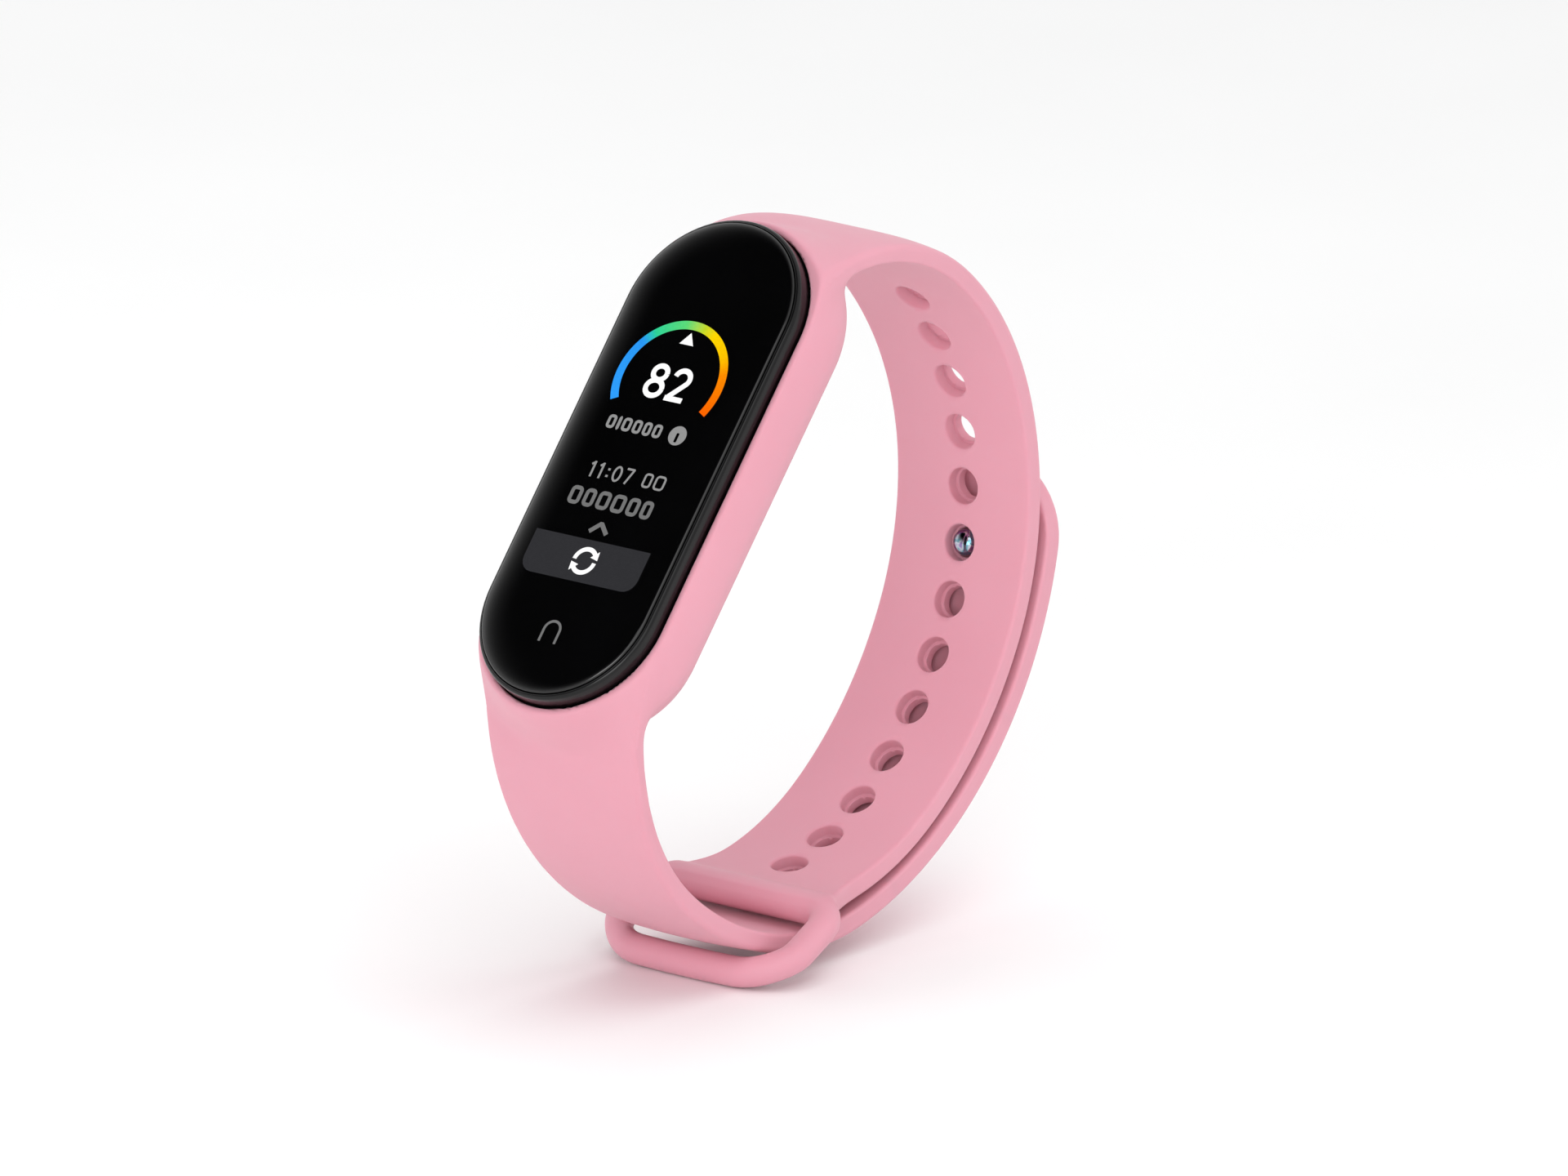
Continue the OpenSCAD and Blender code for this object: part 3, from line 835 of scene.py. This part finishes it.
METALS = {
    "copper": ((196, 118, 72), (222, 146, 98)),
    "tinned_steel": ((176, 178, 180), (204, 206, 208), (0.25, 0.4)),
    "motor_steel": ((178, 180, 184), (216, 218, 220), (0.14, 0.26)),
    "tungsten": ((112, 110, 106), (146, 142, 136), (0.3, 0.45)),
    "gold": ((214, 172, 92), (236, 200, 124), (0.12, 0.24)),
}


def finishes():
    """The record's material slots as Blender materials."""
    made = {
        "silicone": silicone(),
        "polished_metal": stud_metal_painted_reflections(),
        "cover_glass": cover_glass(),
        "black_gloss": black_gloss(),
        "battery_foil": foil(),
        "circuit_board": circuit_board(),
    }
    for make, table in ((mixed, MOULDED), (brushed, METALS)):
        for name, (one, other, *rest) in table.items():
            made[name] = make(name, linear(*one), linear(*other), *rest)
    return made


FINISH = finishes()
NODE_SLOTS = {part["node"]: part["material_slot"] for part in frame["record"]["subparts"]}


def finish(obj, slot, body, *nodes):
    """Gives a new piece its material and its body, and hides the CAD nodes that it stands for."""
    obj.data.materials.clear()
    obj.data.materials.append(FINISH[slot])
    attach(obj, body)
    if nodes:
        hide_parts(*nodes)
    return obj


# ---------------------------------------------------------------- the strap
# Spacing of the strap's grid along its run: fine where its shape changes, so that the mesh stays under the
# 200,000 triangles that the export keeps without thinning it.
HOLE_ZONE, AT_HOLES, BETWEEN_HOLES = 1.8, 0.22, 0.7
PLAIN_ARM, POCKET_END = 0.9, 0.325
CUT_A, CUT_B = 243.0, 276.0  # where on the tail the three pieces meet


def build_strap():
    """Meshes the strap once and cuts it into the arms with their pocket, and the tail's two ends."""
    reached, near_holes = UPPER_START + 8, []
    for run in hole_runs:
        near_holes += [
            (reached, run - HOLE_ZONE, BETWEEN_HOLES),
            (run - HOLE_ZONE, run + HOLE_ZONE, AT_HOLES),
        ]
        reached = run + HOLE_ZONE
    near_holes.append((reached, BAR_RUN - 4, BETWEEN_HOLES))
    axes = (
        spread(
            (-11.6, -10.2, 0.25), (-10.2, -8.8, 0.145), (-8.8, -6.4, 0.24), (-6.4, -3.0, 0.57),
            (-3.0, -1.9, 0.3), (-1.9, 1.9, 0.19), (1.9, 3.0, 0.3),
            (3.0, 6.4, 0.57), (6.4, 8.8, 0.24), (8.8, 10.2, 0.145), (10.2, 11.6, 0.25),
        ),
        spread(
            (TIP_END - 1.2, TIP_END + 10.5, 0.22),
            (TIP_END + 10.5, LOWER_START - 8, PLAIN_ARM),
            (LOWER_START - 8, LOWER_START + 10, POCKET_END),
            (LOWER_START + 10, UPPER_START - 10, PLAIN_ARM),
            (UPPER_START - 10, UPPER_START + 8, POCKET_END),
            *near_holes,
            (BAR_RUN - 4, BAR_RUN + BAR_SPAN + 1.9, 0.26),
        ),
        spread((-11.6, -2.4, 0.33), (-2.4, -0.9, 0.13), (-0.9, 2.9, 0.195), (2.9, 5.8, 0.22)),
    )
    x, s, n = np.meshgrid(*axes, indexing="ij")
    f = strap_distance(x.ravel(), s.ravel(), n.ravel()).reshape(x.shape)
    v, quads, row = surface_net(f, axes)
    v = settle(v)
    cut_a = int(np.searchsorted(axes[1], path.run("tail", CUT_A)))
    cut_b = int(np.searchsorted(axes[1], path.run("tail", CUT_B)))
    last = len(axes[1])
    band = strap_piece("soft_strap", v, quads, row, cut_a, last)
    middle = strap_piece("soft_tail_middle", v, quads, row, cut_b, cut_a)
    tip = strap_piece("soft_tail_tip", v, quads, row, 0, cut_b)
    return band, middle, tip


band, tail_middle, tail_tip = build_strap()
finish(band, "silicone", "band", "strap")
for piece, joint, bodies, node in (
    (tail_middle, "tail_lift", ("band", "tail_middle"), "strap_tail_middle"),
    (tail_tip, "tail_tip_lift", ("tail_middle", "tail_tip"), "strap_tail_tip"),
):
    piece.data.materials.append(FINISH["silicone"])
    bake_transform(piece)
    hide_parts(node)

# ---------------------------------------------------------------- the clasp
stud_axis = np.array([0.0, *unit(STUD_DIR)])
stud_base = np.array([0.0, *FLANK_C])
HEAD_R, HEAD_HIGH = 1.15, 0.72  # the domed head of the stud
stud = lathe_piece(
    "stud",
    [
        (HEAD_R * math.sin(t), STUD_IN + HEAD_HIGH * (1 - math.cos(t)))
        for t in np.linspace(0, math.pi / 2, 12)
    ]
    + [
        (HEAD_R, STUD_IN + 0.86),
        (HEAD_R - 0.06, STUD_IN + 0.96),
        (POST_R + 0.12, STUD_IN + 1.03),
        (POST_R, STUD_IN + 1.15),
        (POST_R, STUD_OUT - 0.6),
        (0, STUD_OUT - 0.6),
    ],
    stud_base,
    stud_axis,
)
finish(stud, "polished_metal", "tail_tip", "clasp_stud")
disc_low, disc_rim = STUD_OUT - 0.55, 0.3
disc = lathe_piece(
    "stud_disc",
    [(0, disc_low), (DISC_R - 0.08, disc_low), (DISC_R, disc_low + 0.08), (DISC_R, disc_low + 0.5)]
    + arc_points(DISC_R - disc_rim, disc_low + 0.55, disc_rim, 0, 80, 8)
    + [
        (1.9, disc_low + 0.94), (1.75, disc_low + 0.90), (1.6, disc_low + 0.92),
        (0.9, disc_low + 1.01), (0, disc_low + 1.05),
    ],
    stud_base,
    stud_axis,
)
finish(disc, "polished_metal", "tail_tip", "clasp_disc_cap")
disc.data.materials.clear()
disc.data.materials.append(turned_steel())

# ---------------------------------------------------------------- the tracker
GLASS_R, GLASS_TOP = 8.62, 0.35
CROWN_FROM, GLASS_DROP = 4.8, 0.62


def glass_height(r):
    """Top of the cover glass: flat, then falling away ever faster towards its edge."""
    t = np.clip((np.asarray(r, float) - CROWN_FROM) / (GLASS_R - CROWN_FROM), 0, 1)
    return GLASS_TOP - GLASS_DROP * (1 - np.sqrt(np.maximum(1 - t**2, 0)))


falling = CROWN_FROM + (GLASS_R - CROWN_FROM) * np.sin(np.linspace(0.12, math.pi / 2, 16))
glass_top = [(r, float(glass_height(r))) for r in [0, 2.0, 4.0, CROWN_FROM, *falling]]
glass = stadium_piece(
    "glass",
    glass_top + [(GLASS_R, -0.45), (GLASS_R - 0.05, -0.72), (GLASS_R - 0.12, -0.75), (0, -0.75)],
)
finish(glass, "cover_glass", "tracker", "cover_glass")

SEAT_R, SPLIT_Z, RIM_R = 8.68, -2.3, 0.42
rim = stadium_piece(
    "body_rim",
    [(7.55, -0.85), (SEAT_R, -0.85), (SEAT_R, -0.38)]
    + arc_points(SEAT_R + 0.06, -0.38, 0.06, 180, 90, 4)
    + arc_points(BODY_R - RIM_R, -0.32 - RIM_R, RIM_R, 80, 0, 9)
    + [
        (BODY_R, -1.5), (BODY_R, SPLIT_Z + 0.03), (BODY_R - 0.03, SPLIT_Z),
        (8.3, SPLIT_Z), (8.3, -1.95), (7.55, -1.95),
    ],
    closed=True,
)
finish(rim, "black_gloss", "tracker", "mid_frame")

back_outer = [(float(np.interp(z, *BODY)), z) for z in np.linspace(SPLIT_Z - 0.03, -10.6, 44)]
back_shell = stadium_piece(
    "body_back",
    [(8.3, SPLIT_Z), (BODY_R - 0.03, SPLIT_Z)]
    + back_outer
    + [(5.5, -10.85), (5.2, -11.05), (4.95, -11.14), (4.7, BACK_Z), (0, BACK_Z)]
    + [
        (0, -10.4), (4.1, -10.4), (5.6, -9.6), (6.45, -8.7), (7.3, -7.6),
        (8.0, -6.4), (8.2, -5.4), (8.2, -2.45), (8.3, -2.45),
    ],
    closed=True,
)
finish(back_shell, "black_gloss", "tracker", "rear_housing")

window = lathe_piece(
    "sensor_lens",
    [(0, -10.85), (WINDOW_R - 0.05, -10.85), (WINDOW_R, -10.9), (WINDOW_R, -11.2)]
    + arc_points(WINDOW_R - 0.35, -11.25, 0.35, 0, -70, 7)
    + [(3.1, -11.86), (2.2, -12.02), (1.2, -12.08), (0, -12.1)],
    np.zeros(3),
    [0, 0, 1],
)
finish(window, "dark_lens", "tracker", "sensor_window")


# ---------------------------------------------------------------- what the screen shows
SCREEN_Z = GLASS_TOP + 0.012
RAISED = 0.008  # how far a mark on top of another stands above it
INK = 0.02  # thickness of what the screen shows


def slab(name, outline, z=SCREEN_Z):
    """A thin flat shape on the glass from an outline of (x, y) points."""
    n = len(outline)
    low = [(x, y, z - INK / 2) for x, y in outline]
    high = [(x, y, z + INK / 2) for x, y in outline]
    faces = [list(range(n))[::-1], list(range(n, 2 * n))]
    faces += [(i, (i + 1) % n, n + (i + 1) % n, n + i) for i in range(n)]
    return tidy_mesh(new_object(name, to_row(low + high), faces, smooth=False))


def stroke(points, width):
    """The outline of a line of that width along the points."""
    p = np.array(points, float)
    ahead = np.gradient(p, axis=0)
    ahead /= np.linalg.norm(ahead, axis=1, keepdims=True)
    side = np.stack([-ahead[:, 1], ahead[:, 0]], 1) * width / 2
    return [tuple(q) for q in np.concatenate([p + side, (p - side)[::-1]])]


def rounded(cx, cy, w, h, r, corners=(1, 1, 1, 1), steps=6):
    """A rectangle about (cx, cy). corners says which are rounded, round from the upper right."""
    points = []
    for k, (sx, sy) in enumerate(((1, 1), (-1, 1), (-1, -1), (1, -1))):
        rr = r if corners[k] else 0.02
        ox, oy = cx + sx * (w / 2 - rr), cy + sy * (h / 2 - rr)
        points += [
            (ox + rr * math.cos(a), oy + rr * math.sin(a))
            for a in np.radians(np.linspace(90 * k, 90 * k + 90, steps))
        ]
    return points


def joined(name, parts):
    """Several meshes as one piece."""
    bm = bmesh.new()
    for part in parts:
        bm.from_mesh(part.data)
        bpy.data.objects.remove(part)
    mesh = bpy.data.meshes.new(name)
    bm.to_mesh(mesh)
    bm.free()
    return placed(name, mesh)


def ellipse(cx, cy, rx, ry, a=0.0, b=360.0, steps=28):
    return [(cx + rx * math.cos(t), cy + ry * math.sin(t)) for t in np.radians(np.linspace(a, b, steps))]


def arc(cx, cy, r, a, b, steps=48):
    return ellipse(cx, cy, r, r, a, b, steps)


# Each numeral's strokes in a box 1 high, with the width of the box.
NUMERALS = {
    "0": (0.62, [ellipse(0.31, 0.5, 0.23, 0.42)]),
    "1": (0.40, [[(0.06, 0.76), (0.25, 0.92)], [(0.24, 0.97), (0.24, 0.03)]]),
    "2": (0.62, [ellipse(0.31, 0.69, 0.22, 0.23, 170, -32) + [(0.13, 0.12)], [(0.04, 0.08), (0.57, 0.08)]]),
    "7": (0.56, [[(0.03, 0.92), (0.52, 0.92)], [(0.50, 0.95), (0.20, 0.03)]]),
    "8": (0.62, [ellipse(0.31, 0.725, 0.20, 0.20), ellipse(0.31, 0.28, 0.235, 0.225)]),
    ":": (0.26, [[(0.06, 0.26), (0.20, 0.26)], [(0.06, 0.66), (0.20, 0.66)]]),
}


def numerals(name, text, centre, size, weight, gap=0.08, widen=1.0):
    """Numerals drawn on the glass with strokes, centred on a point."""
    total = sum(NUMERALS[c][0] for c in text) + gap * (len(text) - 1)
    parts, at = [], -total / 2
    for i, c in enumerate(text):
        width, strokes = NUMERALS[c]
        for k, line in enumerate(strokes):
            points = [(centre[0] + (at + x) * size * widen, centre[1] + (y - 0.5) * size) for x, y in line]
            parts.append(slab(f"{name}_{i}_{k}", stroke(points, weight)))
        at += width + gap
    return joined(name, parts)


WHITE, GREY = linear(250, 250, 250), linear(150, 150, 150)
DIM, PANEL = linear(118, 118, 118), linear(50, 50, 53)
LIT = {
    "white": lit_pixels("pixels_white", WHITE, 1.0),
    "grey": lit_pixels("pixels_grey", GREY, 0.9),
    "dim": lit_pixels("pixels_dim", DIM, 0.9),
    "panel": lit_pixels("pixels_panel", PANEL, 0.9),
    "black": lit_pixels("pixels_black", linear(8, 8, 8), 0.1),
    "gauge": lit_pixels("pixels_gauge", WHITE, 0.9, tinted=True),
}


def show(obj, light):
    obj.data.materials.clear()
    obj.data.materials.append(LIT[light])
    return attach(obj, "tracker")


GAUGE_C, GAUGE_R, GAUGE_W = (0.0, 7.25), 5.4, 0.8
GAUGE_FROM, GAUGE_TO = 209.0, -26.0
GAUGE_TINTS = [
    (0.0, linear(48, 160, 255)),
    (0.27, linear(42, 152, 245)),
    (0.33, linear(46, 212, 150)),
    (0.47, linear(92, 220, 120)),
    (0.56, linear(196, 218, 40)),
    (0.62, linear(255, 216, 0)),
    (0.74, linear(255, 196, 0)),
    (0.82, linear(255, 140, 0)),
    (1.0, linear(255, 100, 0)),
]


def gauge():
    obj = slab("gauge", stroke(arc(*GAUGE_C, GAUGE_R, GAUGE_FROM, GAUGE_TO, 96), GAUGE_W))
    bm = bmesh.new()
    bm.from_mesh(obj.data)
    bmesh.ops.triangulate(bm, faces=bm.faces[:])
    bm.to_mesh(obj.data)
    bm.free()
    centre = to_row([*GAUGE_C, SCREEN_Z])[0]
    at, tints = [t for t, _ in GAUGE_TINTS], np.array([c for _, c in GAUGE_TINTS])
    tint = obj.data.color_attributes.new("Tint", "FLOAT_COLOR", "POINT")
    for i, v in enumerate(obj.data.vertices):
        d = np.array(v.co) - centre
        a = math.degrees(math.atan2(d @ ALONG, d @ ACROSS))
        a = a + 360 if a < -90 else a
        share = (GAUGE_FROM - a) / (GAUGE_FROM - GAUGE_TO)
        tint.data[i].color = (*(float(np.interp(share, at, tints[:, c])) for c in range(3)), 1)
    return obj


show(gauge(), "gauge")
show(slab("gauge_pointer", [(-0.75, 10.8), (0.75, 10.8), (0.0, 11.95)]), "white")
show(numerals("gauge_numerals", "82", (0.0, 7.05), 3.3, 0.5, 0.07, 1.1), "white")


def boxes(name, y, height, start, widths, weight, gap=0.24):
    """A line of empty boxes where a label's letters would be."""
    parts, x = [], start
    for i, width in enumerate(widths):
        line = rounded(x + width / 2, y, max(width - weight, 0.02), height - weight, min(0.3, width / 4))
        parts.append(slab(f"{name}_{i}", stroke(line + line[:1], weight)))
        x += width + gap
    return joined(name, parts)


show(boxes("label_boxes_a", 2.5, 1.3, -4.35, [0.9, 0.3, 0.95, 0.9, 0.85, 0.9], 0.27), "grey")
show(slab("info_disc", arc(3.45, 2.5, 0.92, 0, 352, 40)), "grey")
show(slab("info_bar", rounded(3.45, 2.3, 0.3, 0.9, 0.1), SCREEN_Z + RAISED), "black")
show(numerals("clock_numerals", "11:07", (-1.5, -2.1), 1.6, 0.2, 0.16, 1.05), "grey")
show(boxes("clock_boxes", -2.1, 1.4, 2.1, [0.95, 1.15], 0.2, 0.3), "grey")
show(boxes("label_boxes_b", -4.75, 1.75, -4.7, [1.3, 1.2, 1.35, 1.4, 1.25, 1.15], 0.36, 0.3), "dim")
show(slab("chevron", stroke([(-0.95, -7.75), (-0.02, -6.85), (0.02, -6.85), (0.95, -7.75)], 0.42)), "dim")
show(slab("button_panel", rounded(0, -10.5, 12.7, 4.0, 1.3, (0, 0, 1, 1)), SCREEN_Z - 0.004), "panel")


def refresh_mark(cx, cy, r, width):
    """Two half rings that chase each other, each with an arrowhead."""
    parts = []
    for k in (0, 180):
        ring = stroke(arc(cx, cy, r, 178 + k, 42 + k, 24), width)
        parts.append(slab(f"refresh_arc_{k}", ring, SCREEN_Z + RAISED))
        a = math.radians(42 + k)
        out, ahead = np.array([math.cos(a), math.sin(a)]), np.array([math.sin(a), -math.cos(a)])
        base = np.array([cx, cy]) + r * out
        head = [base + 0.5 * out, base + 0.7 * ahead, base - 0.5 * out]
        parts.append(slab(f"refresh_head_{k}", [tuple(p) for p in head], SCREEN_Z + RAISED))
    return joined("refresh_mark", parts)


show(refresh_mark(0.0, -10.5, 1.12, 0.42), "white")
KEY_Y = -17.5
key = [
    (-0.85, KEY_Y - 1.0), (-0.85, KEY_Y + 0.15),
    *arc(0, KEY_Y + 0.2, 0.85, 176, 4, 20),
    (0.85, KEY_Y + 0.15), (0.85, KEY_Y - 1.0),
]
show(slab("touch_key_mark", stroke(key, 0.24)), "dim")

# ---------------------------------------------------------------- materials of the CAD nodes that stay
for name, node in frame["nodes"].items():
    if not node.hide_render:
        node.data.materials.clear()
        node.data.materials.append(FINISH[NODE_SLOTS[name]])

# ---------------------------------------------------------------- floor, lights and camera
low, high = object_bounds()


def toward(azimuth, elevation):
    """The direction to something seen from the object, in degrees from the front and above the floor."""
    az, el = math.radians(azimuth), math.radians(elevation)
    return Vector((math.sin(az) * math.cos(el), -math.cos(az) * math.cos(el), math.sin(el)))


def area_light(name, direction, distance, size, power, mirrored=True):
    """A soft light shining on the object from a direction given as (azimuth, elevation). It shows in
    reflections only where mirrored is true."""
    way = toward(*direction)
    data = bpy.data.lights.new(name, "AREA")
    data.shape, data.size, data.size_y = "RECTANGLE", *size
    data.energy = power
    light = placed(name, data)
    light.visible_glossy = mirrored
    light.location = (low + high) / 2 + way * distance
    light.rotation_mode = "QUATERNION"
    light.rotation_quaternion = way.to_track_quat("Z", "Y")


FLOOR_HALF = 3.0
floor = new_object(
    "floor",
    [(x * FLOOR_HALF, y * FLOOR_HALF, low.z) for x, y in ((-1, -1), (1, -1), (1, 1), (-1, 1))],
    [(0, 1, 2, 3)],
)
floor_white = mixed("floor", (0.93, 0.93, 0.93), (0.95, 0.95, 0.95), 60.0, 3.0, (0.6, 0.7), 0.0)
floor.data.materials.append(floor_white)

area_light("key", (45, 30), 0.7, (0.5, 0.5), 0.9)
area_light("left", (-48, 10), 0.6, (0.4, 0.4), 1.2, mirrored=False)
area_light("fill", (25, 5), 0.7, (0.4, 0.3), 1.3)
area_light("top", (60, 85), 0.8, (0.9, 0.9), 3.7, mirrored=False)

GLASS_LOOKS = (-0.258, -0.538, 0.802)  # what the flat of the glass mirrors into the camera
SCREEN_EDGE = 0.55, 0.92  # cosines between which the white gives way to the dark
SKY = 0.95, 0.004  # strength outside and inside the dark screen


def studio():
    """White surroundings with a dark screen where the glass looks, so that it stays black."""
    world = bpy.data.worlds.new("studio")
    world.use_nodes = True
    tree = world.node_tree
    where = tree.nodes.new("ShaderNodeTexCoord")
    toward = tree.nodes.new("ShaderNodeVectorMath")
    toward.operation = "DOT_PRODUCT"
    toward.inputs[1].default_value = GLASS_LOOKS
    strength = tree.nodes.new("ShaderNodeMapRange")
    strength.interpolation_type = "SMOOTHSTEP"
    for key, value in zip(("From Min", "From Max", "To Min", "To Max"), (*SCREEN_EDGE, *SKY)):
        strength.inputs[key].default_value = value
    tree.links.new(where.outputs["Generated"], toward.inputs[0])
    tree.links.new(toward.outputs["Value"], strength.inputs["Value"])
    tree.links.new(strength.outputs["Result"], tree.nodes["Background"].inputs["Strength"])
    tree.nodes["Background"].inputs["Color"].default_value = (1, 1, 1, 1)
    return world


bpy.context.scene.world = studio()
bpy.context.scene.view_settings.view_transform = "Standard"

CAMERA_AZ, CAMERA_EL = 39.6, 15.8
FRAME_WIDTH = 0.1346  # metres across the picture at the glass, fitted to the photo's outline
LENS, SENSOR = 1000.0, 36.0
AIM_RIGHT, AIM_DOWN = 12.65, 11.31  # from the middle of the glass to the picture's centre, in mm
camera_data = bpy.data.cameras.new("camera")
camera_data.lens, camera_data.sensor_width = LENS, SENSOR
camera_data.clip_start, camera_data.clip_end = 0.05, 20.0
camera = placed("camera", camera_data)
back = toward(CAMERA_AZ, CAMERA_EL)
right = Vector((math.cos(math.radians(CAMERA_AZ)), math.sin(math.radians(CAMERA_AZ)), 0))
up = back.cross(right)
glass_middle = Vector(to_row([0, 0, 0])[0])
aim = glass_middle + right * AIM_RIGHT * MM - up * AIM_DOWN * MM
camera.location = aim + back * FRAME_WIDTH * LENS / SENSOR
camera.rotation_mode = "QUATERNION"
camera.rotation_quaternion = back.to_track_quat("Z", "Y")
bpy.context.scene.camera = camera
